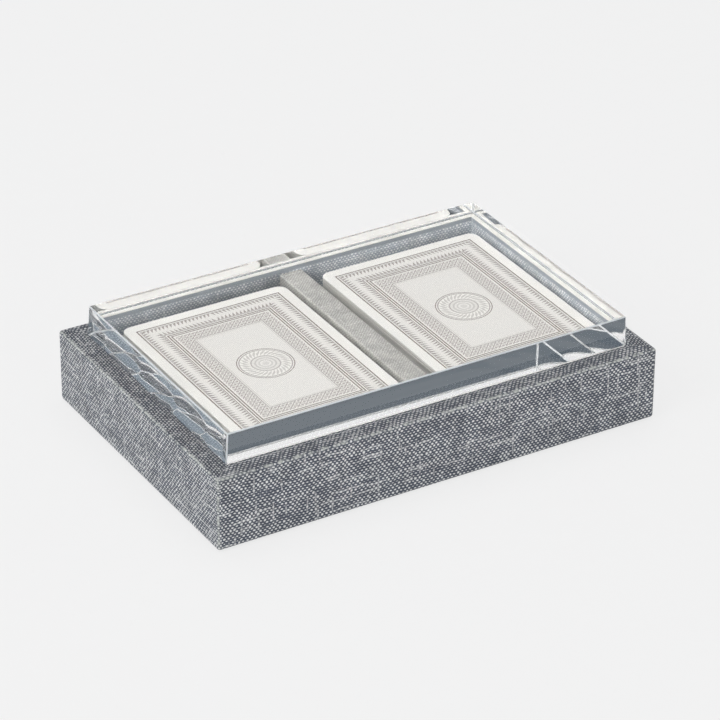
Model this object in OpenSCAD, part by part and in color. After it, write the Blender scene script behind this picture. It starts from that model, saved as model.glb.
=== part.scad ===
// Two-deck playing card box with a thick clear lid.
// The box stands on z = 0 with its centre over the origin, its long side along x and its front at -y.

/* [Cards] */
// Width of a card
card_w = 63.5; // [57:0.5:66]
// Length of a card
card_l = 88.9; // [86:0.1:92]
// Thickness of a card
card_t = 0.29; // [0.26:0.01:0.32]
// Radius of a card's corners
card_corner_r = 3.5; // [2:0.5:6]
// Air between two cards of a packet
card_air = 0.01; // [0.01:0.005:0.03]
// Cards in a suit
suit_cards = 13; // [3:1:13]
// Jokers in a deck
joker_cards = 2; // [1:1:4]

/* [Wells] */
// Room beside a deck across its well, the mean of both wells
well_room = 7.1; // [6.6:0.1:12]
// How far the divider stands right of the middle
middle_right = 1; // [0:0.1:1.4]
// Gap between the divider and the left deck
left_deck_gap = 1.2; // [0.5:0.1:4.8]
// Gap between the divider and the right deck
right_deck_gap = 4.4; // [0.5:0.1:4.8]
// Gap in front of a deck
front_gap = 0.3; // [0.2:0.1:3]
// Gap behind a deck
back_gap = 4.4; // [2:0.2:10]
// Width of the divider between the wells, with its cloth
divider_w = 8.9; // [5:0.1:16]
// How far the divider's top lies above the top cards
divider_rise = 1.5; // [0:0.1:2.5]
// Thickness of the divider's cloth
divider_cloth_t = 0.4; // [0.2:0.1:0.6]
// Thickness of the cloth on the walls of the wells
lining_t = 0.4; // [0.2:0.1:0.8]
// Height of the smooth paper band above that cloth
band_h = 1.4; // [1:0.1:3]
// Thickness of the pad on the floor of a well
pad_t = 0.8; // [0.4:0.1:2]

/* [Lid] */
// Thickness of the clear lid
lid_t = 11.5; // [8:0.5:18]
// Chamfer on every edge of the lid
lid_chamfer = 0.4; // [0.2:0.1:1]
// Gap between the lid's sides and the recess
lid_gap = 1.3; // [0.5:0.1:2]
// How far each short end of the lid rests on the ledge
end_seat = 2; // [1:0.1:6]
// How far each long side of the lid rests on the ledge
side_seat = 2; // [1:0.1:6]
// Depth of the recess below the rim
recess_d = 0.8; // [0.8:0.1:3]
// Room between the top cards and the lid
head_room = 4.1; // [3:0.1:6]

/* [Box] */
// Thickness of the wall boards
wall_t = 5.4; // [3:0.1:9]
// Thickness of the cloth round the walls
cloth_t = 0.5; // [0.3:0.1:0.7]
// How far the cloth turns under the base
turn_under = 12; // [8:1:20]
// Thickness of the base board
base_t = 3; // [2:0.5:6]
// Thickness of the tray board on it
tray_t = 1.2; // [0.8:0.1:4]
// Thickness of the pale paper on top of the ledge
ledge_paper_t = 0.3; // [0.2:0.1:0.5]
// Thickness of the lining sheet under the box
base_lining_t = 0.5; // [0.3:0.1:1.5]
// How far that sheet stays back from the outer faces
base_lining_inset = 3; // [1:0.5:6]

/* [Fits] */
// Gap between pieces that lift away from each other
lift_gap = 0.2; // [0.1:0.05:0.4]

/* [Hidden] */
$fn = 64;
// How far cutting shapes reach past what they cut
overrun = 1;

// The opening that holds both wells and the divider, the lid, its recess and the box, in plan
well_l = front_gap + card_l + back_gap;
wells_w = 2 * (card_w + well_room) + divider_w;
lid_l = wells_w + 2 * end_seat;
lid_w = well_l + 2 * side_seat;
recess_l = lid_l + 2 * lid_gap;
recess_w = lid_w + 2 * lid_gap;
// The insert fills the box between the wall boards
insert_l = recess_l + 2 * cloth_t;
insert_w = recess_w + 2 * cloth_t;
rim_w = wall_t + 2 * cloth_t;
box_l = recess_l + 2 * rim_w;
box_w = recess_w + 2 * rim_w;
// The divider's two sides, and the middle of each deck
divider_left_x = middle_right - divider_w / 2;
divider_right_x = middle_right + divider_w / 2;
left_deck_x = divider_left_x - left_deck_gap - card_w / 2;
right_deck_x = divider_right_x + right_deck_gap + card_w / 2;
deck_y = (front_gap - back_gap) / 2;

// Cards of a deck, counted from the bottom: jokers, clubs, diamonds, hearts, spades, the last one on top
deck_cards = joker_cards + 4 * suit_cards;
clubs_first = joker_cards;
diamonds_first = clubs_first + suit_cards;
hearts_first = diamonds_first + suit_cards;
spades_first = hearts_first + suit_cards;
top_first = deck_cards - 1;

// Heights, from the floor up
base_z = base_lining_t + cloth_t;
tray_z = base_z + base_t;
pad_z = tray_z + tray_t;
cards_z = pad_z + pad_t + lift_gap;
function card_z(i) = cards_z + i * (card_t + card_air)
    + (i >= hearts_first ? lift_gap - card_air : 0)
    + (i >= top_first ? lift_gap - card_air : 0);
deck_top_z = card_z(top_first) + card_t;
lid_z = deck_top_z + head_room;
seat_z = lid_z - lift_gap;
ledge_top_z = seat_z - ledge_paper_t;
rim_z = seat_z + recess_d;
wall_top_z = rim_z - cloth_t;
divider_top_z = deck_top_z + divider_rise;
lining_top_z = ledge_top_z - band_h;

cloth_colour = "#3d4757";
smooth_colour = "#7b8794";
grey_colour = "#a8a8a4";
board_colour = "#a58d6c";
card_colour = "#efece6";

// A plate of the given size in plan, standing on z and centred over the origin
module plate(size_x, size_y, z, height) {
    translate([-size_x / 2, -size_y / 2, z])
        cube([size_x, size_y, height]);
}

// Plan of one mitred side that runs along x: its outer edge lies on y = 0 and it reaches inward to depth
module mitred_plan(run, depth) {
    polygon([
        [-run / 2, 0],
        [run / 2, 0],
        [run / 2 - depth, depth],
        [-run / 2 + depth, depth]
    ]);
}

// Places a side that was drawn along x on one of the four walls
module on_front(width) {
    translate([0, -width / 2, 0])
        children();
}

module on_back(width) {
    rotate([0, 0, 180])
        on_front(width)
            children();
}

module on_left(length) {
    rotate([0, 0, -90])
        on_front(length)
            children();
}

module on_right(length) {
    rotate([0, 0, 90])
        on_front(length)
            children();
}

// One wall board, mitred at both ends
module wall_board(run) {
    color(board_colour)
        translate([0, 0, base_z])
            linear_extrude(wall_top_z - base_z)
                mitred_plan(run, wall_t);
}

// Section of the cloth round one wall: under the base, up the outside, over the rim, down to the ledge
module wrap_section() {
    polygon([
        [0, base_lining_t],
        [turn_under, base_lining_t],
        [turn_under, base_z],
        [cloth_t, base_z],
        [cloth_t, wall_top_z],
        [rim_w - cloth_t, wall_top_z],
        [rim_w - cloth_t, seat_z],
        [rim_w, seat_z],
        [rim_w, rim_z],
        [0, rim_z]
    ]);
}

// One side of cloth, mitred at both ends
module cloth_side(run) {
    color(cloth_colour)
        intersection() {
            translate([-run / 2, 0, 0])
                rotate([90, 0, 90])
                    linear_extrude(run)
                        wrap_section();
            linear_extrude(rim_z + overrun)
                mitred_plan(run, max(turn_under, rim_w) + overrun);
        }
}

module base_lining() {
    color(grey_colour)
        plate(box_l - 2 * base_lining_inset, box_w - 2 * base_lining_inset, 0, base_lining_t);
}

module base_board() {
    color(board_colour)
        plate(insert_l, insert_w, base_z, base_t);
}

module wall_front() {
    on_front(box_w - 2 * cloth_t)
        wall_board(box_l - 2 * cloth_t);
}

module wall_back() {
    on_back(box_w - 2 * cloth_t)
        wall_board(box_l - 2 * cloth_t);
}

module wall_left() {
    on_left(box_l - 2 * cloth_t)
        wall_board(box_w - 2 * cloth_t);
}

module wall_right() {
    on_right(box_l - 2 * cloth_t)
        wall_board(box_w - 2 * cloth_t);
}

module cloth_front() {
    on_front(box_w)
        cloth_side(box_l);
}

module cloth_back() {
    on_back(box_w)
        cloth_side(box_l);
}

module cloth_left() {
    on_left(box_l)
        cloth_side(box_w);
}

module cloth_right() {
    on_right(box_l)
        cloth_side(box_w);
}

module tray_board() {
    color(board_colour)
        plate(insert_l, insert_w, tray_z, tray_t);
}

// A ledge board along a long side, full length, set back from the well by its lining
module long_ledge() {
    color(board_colour)
        translate([-insert_l / 2, well_l / 2 + lining_t, pad_z])
            cube([insert_l, (insert_w - well_l) / 2 - lining_t, ledge_top_z - pad_z]);
}

// A ledge board across a short end, between the long ones
module end_ledge() {
    color(board_colour)
        translate([wells_w / 2 + lining_t, -well_l / 2 - lining_t, pad_z])
            cube([(insert_l - wells_w) / 2 - lining_t, well_l + 2 * lining_t, ledge_top_z - pad_z]);
}

module ledge_front() {
    mirror([0, 1, 0])
        long_ledge();
}

module ledge_back() {
    long_ledge();
}

module ledge_left() {
    mirror([1, 0, 0])
        end_ledge();
}

module ledge_right() {
    end_ledge();
}

// A ring of one wall thickness round the opening of the wells
module opening_ring(z, height) {
    difference() {
        plate(wells_w + 2 * lining_t, well_l + 2 * lining_t, z, height);
        plate(wells_w, well_l, z - overrun, height + 2 * overrun);
    }
}

// Pale paper over the ledge that the lid rests on, one sheet with a window over the wells
module ledge_paper() {
    color(card_colour)
        difference() {
            plate(insert_l - 2 * cloth_t, insert_w - 2 * cloth_t, ledge_top_z, ledge_paper_t);
            plate(wells_w, well_l, ledge_top_z - overrun, ledge_paper_t + 2 * overrun);
        }
}

// Smooth paper band on the walls, between the ledge and the cloth of the wells
module well_band() {
    color(smooth_colour)
        opening_ring(lining_top_z, band_h);
}

module divider_core() {
    color(board_colour)
        translate([middle_right, 0, 0])
            plate(divider_w - 2 * divider_cloth_t, well_l, pad_z, divider_top_z - divider_cloth_t - pad_z);
}

// Woven cloth over the divider, down both of its sides
module divider_cloth() {
    color(grey_colour)
        translate([middle_right, 0, 0])
            difference() {
                plate(divider_w, well_l, pad_z, divider_top_z - pad_z);
                plate(
                    divider_w - 2 * divider_cloth_t,
                    well_l + 2 * overrun,
                    pad_z - overrun,
                    divider_top_z - divider_cloth_t - pad_z + overrun
                );
            }
}

// Cloth on the walls of the wells, in two pieces that meet behind the ends of the divider
module left_well_lining() {
    color(cloth_colour)
        intersection() {
            opening_ring(pad_z, lining_top_z - pad_z);
            translate([middle_right - box_l, -box_w / 2, 0])
                cube([box_l, box_w, rim_z]);
        }
}

module right_well_lining() {
    color(cloth_colour)
        intersection() {
            opening_ring(pad_z, lining_top_z - pad_z);
            translate([middle_right, -box_w / 2, 0])
                cube([box_l, box_w, rim_z]);
        }
}

// Pad that covers the floor of one well, between two walls
module well_pad(from_x, to_x) {
    color(grey_colour)
        translate([(from_x + to_x) / 2, 0, 0])
            plate(to_x - from_x, well_l, pad_z, pad_t);
}

module left_well_pad() {
    well_pad(-wells_w / 2, divider_left_x);
}

module right_well_pad() {
    well_pad(divider_right_x, wells_w / 2);
}

// Rectangle with its four corners cut off at 45 degrees
module chamfered_plan(size_x, size_y) {
    polygon([
        [lid_chamfer, 0],
        [size_x - lid_chamfer, 0],
        [size_x, lid_chamfer],
        [size_x, size_y - lid_chamfer],
        [size_x - lid_chamfer, size_y],
        [lid_chamfer, size_y],
        [0, size_y - lid_chamfer],
        [0, lid_chamfer]
    ]);
}

// Thick clear slab with a small chamfer on all twelve edges
module clear_lid() {
    color("#e8f0f4", 0.35)
        translate([-lid_l / 2, -lid_w / 2, lid_z])
            intersection() {
                linear_extrude(lid_t)
                    chamfered_plan(lid_l, lid_w);
                translate([0, lid_w, 0])
                    rotate([90, 0, 0])
                        linear_extrude(lid_w)
                            chamfered_plan(lid_l, lid_t);
                rotate([90, 0, 90])
                    linear_extrude(lid_l)
                        chamfered_plan(lid_w, lid_t);
            }
}

// Outline of a card with round corners, centred on the origin
module card_outline() {
    square([card_w - 2 * card_corner_r, card_l], center = true);
    square([card_w, card_l - 2 * card_corner_r], center = true);
    for (x = [-1, 1], y = [-1, 1])
        translate([x * (card_w / 2 - card_corner_r), y * (card_l / 2 - card_corner_r)])
            circle(card_corner_r);
}

// Consecutive cards of the deck at x
module cards(x, first, count) {
    color(card_colour)
        for (i = [first : first + count - 1])
            translate([x, deck_y, card_z(i)])
                linear_extrude(card_t)
                    card_outline();
}

module left_jokers() {
    cards(left_deck_x, 0, joker_cards);
}

module left_clubs() {
    cards(left_deck_x, clubs_first, suit_cards);
}

module left_diamonds() {
    cards(left_deck_x, diamonds_first, suit_cards);
}

module left_hearts() {
    cards(left_deck_x, hearts_first, suit_cards);
}

module left_spades() {
    cards(left_deck_x, spades_first, suit_cards - 1);
}

module left_top_card() {
    cards(left_deck_x, top_first, 1);
}

module right_jokers() {
    cards(right_deck_x, 0, joker_cards);
}

module right_clubs() {
    cards(right_deck_x, clubs_first, suit_cards);
}

module right_diamonds() {
    cards(right_deck_x, diamonds_first, suit_cards);
}

module right_hearts() {
    cards(right_deck_x, hearts_first, suit_cards);
}

module right_spades() {
    cards(right_deck_x, spades_first, suit_cards - 1);
}

module right_top_card() {
    cards(right_deck_x, top_first, 1);
}

base_lining();
base_board();
wall_front();
wall_back();
wall_left();
wall_right();
cloth_front();
cloth_back();
cloth_left();
cloth_right();
tray_board();
ledge_front();
ledge_back();
ledge_left();
ledge_right();
ledge_paper();
well_band();
divider_core();
divider_cloth();
left_well_lining();
right_well_lining();
left_well_pad();
right_well_pad();
clear_lid();
left_jokers();
left_clubs();
left_diamonds();
left_hearts();
left_spades();
left_top_card();
right_jokers();
right_clubs();
right_diamonds();
right_hearts();
right_spades();
right_top_card();
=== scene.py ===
import math
import bmesh
import bpy
from mathutils import Matrix, Vector


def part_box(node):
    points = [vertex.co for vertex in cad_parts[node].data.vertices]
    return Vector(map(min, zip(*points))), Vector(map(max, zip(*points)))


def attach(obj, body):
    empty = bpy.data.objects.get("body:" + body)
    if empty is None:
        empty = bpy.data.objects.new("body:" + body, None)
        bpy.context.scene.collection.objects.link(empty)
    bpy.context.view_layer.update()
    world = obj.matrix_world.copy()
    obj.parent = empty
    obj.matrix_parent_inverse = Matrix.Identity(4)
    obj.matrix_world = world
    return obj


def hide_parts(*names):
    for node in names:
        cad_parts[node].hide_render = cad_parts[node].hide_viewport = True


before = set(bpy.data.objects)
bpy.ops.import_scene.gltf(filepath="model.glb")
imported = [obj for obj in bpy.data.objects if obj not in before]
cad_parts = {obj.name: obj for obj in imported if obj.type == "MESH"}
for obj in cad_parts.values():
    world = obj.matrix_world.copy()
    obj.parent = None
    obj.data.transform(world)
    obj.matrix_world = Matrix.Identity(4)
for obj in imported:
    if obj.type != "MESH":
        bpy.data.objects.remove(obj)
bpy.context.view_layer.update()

scene = bpy.context.scene
scene.view_settings.view_transform = "Standard"


# The studio floor: a pale seamless sweep that the box stands on, seen evenly lit.
# Most of its brightness is the backdrop's own tone, so the box's shadow on it stays faint.
def linear(code):
    """An sRGB hex colour as linear RGBA, for a shader's socket."""
    parts = [int(code[i:i + 2], 16) / 255 for i in (1, 3, 5)]
    return [c / 12.92 if c <= 0.04045 else ((c + 0.055) / 1.055) ** 2.4 for c in parts] + [1.0]


def add(tree, kind, inputs=None, **settings):
    """Adds a node with its settings, and sets or links its inputs by name or number.

    A kind that doesn't say which sort of node it is means a shader's node.
    """
    made = tree.nodes.new(kind if "Node" in kind else "ShaderNode" + kind)
    for key, value in settings.items():
        setattr(made, key, value)
    for key, value in (inputs or {}).items():
        if isinstance(value, bpy.types.Node):
            value = value.outputs[0]
        if isinstance(value, bpy.types.NodeSocket):
            tree.links.new(value, made.inputs[key])
        else:
            made.inputs[key].default_value = value
    return made


def new_material(name):
    """An empty node material and its tree."""
    made = bpy.data.materials.new(name)
    made.use_nodes = True
    made.node_tree.nodes.clear()
    return made, made.node_tree


BACKDROP = "#f2f2f2"
FLOOR_HALF = 3.0
FLOOR_OWN_TONE = 0.86
GRAINS_ACROSS = 900.0
FIRST_HAND = 0.5
corners = [(-FLOOR_HALF, -FLOOR_HALF, 0), (FLOOR_HALF, -FLOOR_HALF, 0),
           (FLOOR_HALF, FLOOR_HALF, 0), (-FLOOR_HALF, FLOOR_HALF, 0)]
floor_mesh = bpy.data.meshes.new("studio_floor")
floor_mesh.from_pydata(corners, [], [(0, 1, 2, 3)])
floor = bpy.data.objects.new("studio_floor", floor_mesh)
scene.collection.objects.link(floor)
paper_sweep, tree = new_material("pale paper sweep")
path = add(tree, "LightPath")
seen = add(tree, "Math", {0: path.outputs["Is Camera Ray"], 1: path.outputs["Is Glossy Ray"]}, operation="MAXIMUM")
seen = add(tree, "Math", {0: seen, 1: path.outputs["Is Transmission Ray"]}, operation="MAXIMUM")
first_hand = add(tree, "Math", {0: path.outputs["Diffuse Depth"], 1: FIRST_HAND}, operation="LESS_THAN")
seen = add(tree, "Math", {0: seen, 1: first_hand}, operation="MULTIPLY")
own_share = add(tree, "Math", {0: seen, 1: FLOOR_OWN_TONE}, operation="MULTIPLY")
grain = add(tree, "TexNoise", {"Scale": GRAINS_ACROSS, "Detail": 2.0})
tone = add(tree, "Mix", {0: grain, 6: linear("#efefef"), 7: linear("#f5f5f5")}, data_type="RGBA")
lit = add(tree, "BsdfDiffuse", {"Color": tone.outputs[2]})
own = add(tree, "Emission", {"Color": linear(BACKDROP)})
both = add(tree, "MixShader", {0: own_share, 1: lit, 2: own})
add(tree, "OutputMaterial", {0: both})
floor_mesh.materials.append(paper_sweep)


# The studio's air: soft even light from all round for the surfaces, and the pale backdrop for the camera.
# Polished faces see that backdrop low down and a dim blue-grey room above it, paler towards the front,
# as clear edges do in a studio.
ROOM = "#5d666e"
ROOM_FRONT = "#8d99a3"
ROOM_LOW, ROOM_HIGH = 0.1, 0.3
ROOM_MIDDLE, ROOM_NEAR = 0.3, -0.5
SOFT_LIGHT = 0.48
world = bpy.data.worlds.new("soft studio")
scene.world = world
world.use_nodes = True
tree = world.node_tree
tree.nodes.clear()
path = add(tree, "LightPath")
mirrored = add(tree, "Math", {0: path.outputs["Is Glossy Ray"], 1: path.outputs["Is Transmission Ray"]},
               operation="MAXIMUM")
first_hand = add(tree, "Math", {0: path.outputs["Diffuse Depth"], 1: FIRST_HAND}, operation="LESS_THAN")
mirrored = add(tree, "Math", {0: mirrored, 1: first_hand}, operation="MULTIPLY")
seen = add(tree, "Math", {0: mirrored, 1: path.outputs["Is Camera Ray"]}, operation="MAXIMUM")
direction = add(tree, "TexCoord")
direction = add(tree, "SeparateXYZ", {0: direction.outputs["Generated"]})
room_share = add(tree, "MapRange", {0: direction.outputs["Z"], 1: ROOM_LOW, 2: ROOM_HIGH})
room_share = add(tree, "Math", {0: room_share, 1: mirrored}, operation="MULTIPLY")
front_share = add(tree, "MapRange", {0: direction.outputs["Y"], 1: ROOM_MIDDLE, 2: ROOM_NEAR})
room = add(tree, "Mix", {0: front_share, 6: linear(ROOM), 7: linear(ROOM_FRONT)}, data_type="RGBA")
shown = add(tree, "Mix", {0: room_share, 6: linear(BACKDROP), 7: room.outputs[2]}, data_type="RGBA")
backdrop = add(tree, "Background", {"Color": shown.outputs[2]})
soft = add(tree, "Background", {"Color": linear("#fbfcff"), "Strength": SOFT_LIGHT})
both = add(tree, "MixShader", {0: seen, 1: soft, 2: backdrop})
add(tree, "OutputWorld", {0: both})


# The lamps: a large softbox high on the left, a wide one overhead and a weak one in front, so the left side of the
# box is the brightest and the front the darkest. They are sampled as lamps only, so their light reaches what lies
# under the clear lid, and the lid doesn't mirror them as white squares.
def softbox(name, place, size, power):
    """A square lamp that faces the box, its size in metres and its power in watts."""
    lamp = bpy.data.lights.new(name, "AREA")
    lamp.shape = "SQUARE"
    lamp.size = size
    lamp.energy = power
    lamp.cycles.use_multiple_importance_sampling = False
    holder = bpy.data.objects.new(name, lamp)
    holder.location = place
    holder.rotation_euler = (-Vector(place)).to_track_quat("-Z", "Y").to_euler()
    holder.visible_transmission = False
    scene.collection.objects.link(holder)


softbox("softbox_left", (-1.35, -0.35, 0.95), size=1.0, power=11.4)
softbox("softbox_above", (0.1, 0.25, 1.7), size=1.4, power=9.8)
softbox("softbox_front", (0.3, -1.6, 0.8), size=1.0, power=2.5)

# Light goes to and fro many times inside the lid before it leaves
scene.cycles.max_bounces = 48
scene.cycles.glossy_bounces = 36
scene.cycles.transmission_bounces = 36
scene.cycles.transparent_max_bounces = 16


# The camera: a long lens from the front left, looking down at about thirty degrees.
# Its place, tilt and lens come from the perspective of the box's edges.
CAMERA_PLACE = Vector((-0.5521, -0.9307, 0.6397))
CAMERA_AIM = Vector((0.0053, 0.0066, 0.0145))
CAMERA_ROLL = math.radians(0.32)
lens = bpy.data.cameras.new("camera")
lens.lens = 183.1
lens.sensor_width = 36.0
lens.clip_start = 0.05
camera = bpy.data.objects.new("camera", lens)
turn = (CAMERA_AIM - CAMERA_PLACE).to_track_quat("-Z", "Y").to_matrix().to_4x4()
camera.matrix_world = Matrix.Translation(CAMERA_PLACE) @ turn @ Matrix.Rotation(CAMERA_ROLL, 4, "Z")
scene.collection.objects.link(camera)
scene.camera = camera


# The boards inside the box: walls, base, tray floor, ledge strips and divider core, cut from fibreboard and glued.
# They keep their CAD shapes, since cloth and paper cover every face that could show.
MM = 0.001


def surface(tree, colour, relief, finish):
    """Ends a material with its colour, its relief as a height, a strength and a depth in mm, and its finish."""
    height, strength, depth = relief
    bump = add(tree, "Bump", {"Height": height, "Strength": strength, "Distance": depth * MM})
    face = add(tree, "BsdfPrincipled", {"Base Color": colour, "Normal": bump, **finish})
    add(tree, "OutputMaterial", {0: face})


def cut_board(name):
    """Fibreboard, sawn: short flattened fibres give a mottled brown with a matt, slightly open face."""
    made, tree = new_material(name)
    place = add(tree, "TexCoord")
    fibres = add(tree, "TexNoise", {"Vector": place.outputs["Object"], "Scale": 1.4 / MM, "Detail": 4.0})
    patches = add(tree, "TexNoise", {"Vector": place.outputs["Object"], "Scale": 0.16 / MM})
    mottle = add(tree, "Math", {0: fibres, 1: patches}, operation="MULTIPLY")
    colour = add(tree, "ValToRGB", {0: mottle})
    colour.color_ramp.elements[0].position = 0.12
    colour.color_ramp.elements[0].color = linear("#6e5a42")
    colour.color_ramp.elements[1].position = 0.42
    colour.color_ramp.elements[1].color = linear("#b39c79")
    surface(tree, colour, (fibres, 0.3, 0.05), {"Roughness": 0.85})
    return made


fibreboard = cut_board("sawn fibreboard")
for node in ("base_board", "tray_board", "wall_front", "wall_back", "wall_left", "wall_right",
             "ledge_front", "ledge_back", "ledge_left", "ledge_right", "divider_core"):
    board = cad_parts[node]
    board.data.materials.clear()
    board.data.materials.append(fibreboard)


# The cover of the box: one length of navy linen bookcloth with an off-white weft, lacquered and glued to the boards.
# It turns under the base, runs up the outside, over the rim and down on to the edge of the ledge.
# Its folds are paler, partly from wear and partly a painted highlight, and its upward faces, the rim's top above all,
# are darkened by a painted shade.
END_SETT = 1.12
PICKS = 0.84
SIDE_SHIFT = 311.0
OUTER_SKIN = 0.3
WELD = 1e-7
CORNERS = ((1, -1), (1, 1), (-1, 1), (-1, -1))


def box_mm(node):
    """The low and the high corner of a node's CAD box, in mm."""
    return [Vector(corner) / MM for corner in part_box(node)]


def arc(centre, radius, start, end, steps, wear_and_highlight):
    """Points of a rounded fold in a section, palest at the middle of the fold, from wear and a painted highlight."""
    points = []
    for i in range(steps + 1):
        a = math.radians(start + (end - start) * i / steps)
        points.append((centre[0] + radius * math.cos(a), centre[1] + radius * math.sin(a),
                       wear_and_highlight * math.sin(math.pi * i / steps) ** 2))
    return points


def lengths(section):
    """How far round a closed section each of its points lies, in mm."""
    run = [0.0]
    for a, b in zip(section, section[1:] + section[:1]):
        run.append(run[-1] + math.hypot(b[0] - a[0], b[1] - a[1]))
    return run


def ring(name, section, half_x, half_y, corner=0.0, corner_wear_and_highlight=0.0, steps=5):
    """Sweeps a closed section round a rectangle with round outer corners.

    The section's points are (inset from the outer face, height, wear and painted highlight), in mm. The map cloth_uv
    follows the threads, in mm, with the weft beaten less close than the warp, the warp pushed together round the short
    ends to turn the corners, and each side shifted to a stretch of cloth of its own.
    """
    bm = bmesh.new()
    uv_map = bm.loops.layers.uv.new("cloth_uv")
    wear_and_highlight_layer = bm.verts.layers.float.new("wear_and_highlight")
    run = lengths(section)
    stations = []
    for side, (sx, sy) in enumerate(CORNERS):
        for i in range(steps + 1 if corner else 1):
            a = math.radians(side * 90 - 90 + 90 * i / steps) if corner else 0.0
            stations.append((side, sx, sy, a, i))
    loops = []
    for side, sx, sy, a, i in stations:
        points = []
        for inset, z, wear_and_highlight in section:
            if inset < corner:
                x = sx * (half_x - corner) + (corner - inset) * math.cos(a)
                y = sy * (half_y - corner) + (corner - inset) * math.sin(a)
            else:
                x, y = sx * (half_x - inset), sy * (half_y - inset)
            point = bm.verts.new((x * MM, y * MM, z * MM))
            fold = corner_wear_and_highlight * math.sin(math.pi * i / steps) ** 2 if corner and inset < OUTER_SKIN else 0.0
            point[wear_and_highlight_layer] = max(wear_and_highlight, fold)
            points.append(point)
        loops.append(points)
    along = {0: (0, 1), 1: (-1, 0), 2: (0, -1), 3: (1, 0)}
    count = len(section)
    for s, here in enumerate(loops):
        there = loops[(s + 1) % len(loops)]
        side, turn_step = stations[s][0], stations[s][4]
        straight = stations[(s + 1) % len(loops)][0] != side
        tx, ty = along[side]
        for k in range(count):
            quad = (here[k], there[k], there[(k + 1) % count], here[(k + 1) % count])
            face = bm.faces.new(quad)
            for loop, v, late in zip(face.loops, (run[k], run[k], run[k + 1], run[k + 1]), (0, 1, 1, 0)):
                if straight:
                    u = (loop.vert.co.x * tx + loop.vert.co.y * ty) / MM
                else:
                    u = half_x + corner * math.pi / 2 * (turn_step + late) / steps
                loop[uv_map].uv = (u * (END_SETT if side in (0, 2) else 1.0) + SIDE_SHIFT * side, v * PICKS)
    bmesh.ops.remove_doubles(bm, verts=bm.verts, dist=WELD)
    bmesh.ops.dissolve_degenerate(bm, edges=bm.edges, dist=WELD)
    bmesh.ops.recalc_face_normals(bm, faces=bm.faces)
    return piece_from(name, bm)


def piece_from(name, bm, smooth=0.6):
    """A finished object at the origin from an edit mesh, smooth except across sharp folds."""
    mesh = bpy.data.meshes.new(name)
    bm.to_mesh(mesh)
    bm.free()
    mesh.shade_smooth()
    mesh.set_sharp_from_angle(angle=smooth)
    made = bpy.data.objects.new(name, mesh)
    scene.collection.objects.link(made)
    return made


# The weave: how far and how often its threads stray, in mm and per mm; the half width of a thread in its cell, at its
# foot and at its crown; the shape of a float; and how pale a slub and the weft between its floats look
STRAY, STRAYS_PER_MM = 0.9, 0.22
THREAD_FOOT, THREAD_CROWN = 0.4, 0.3
FLOAT_SHAPE = (0.8, 1.6, 0.0)
SLUB_PALE, WEFT_PALE = 0.45, 0.11


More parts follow.
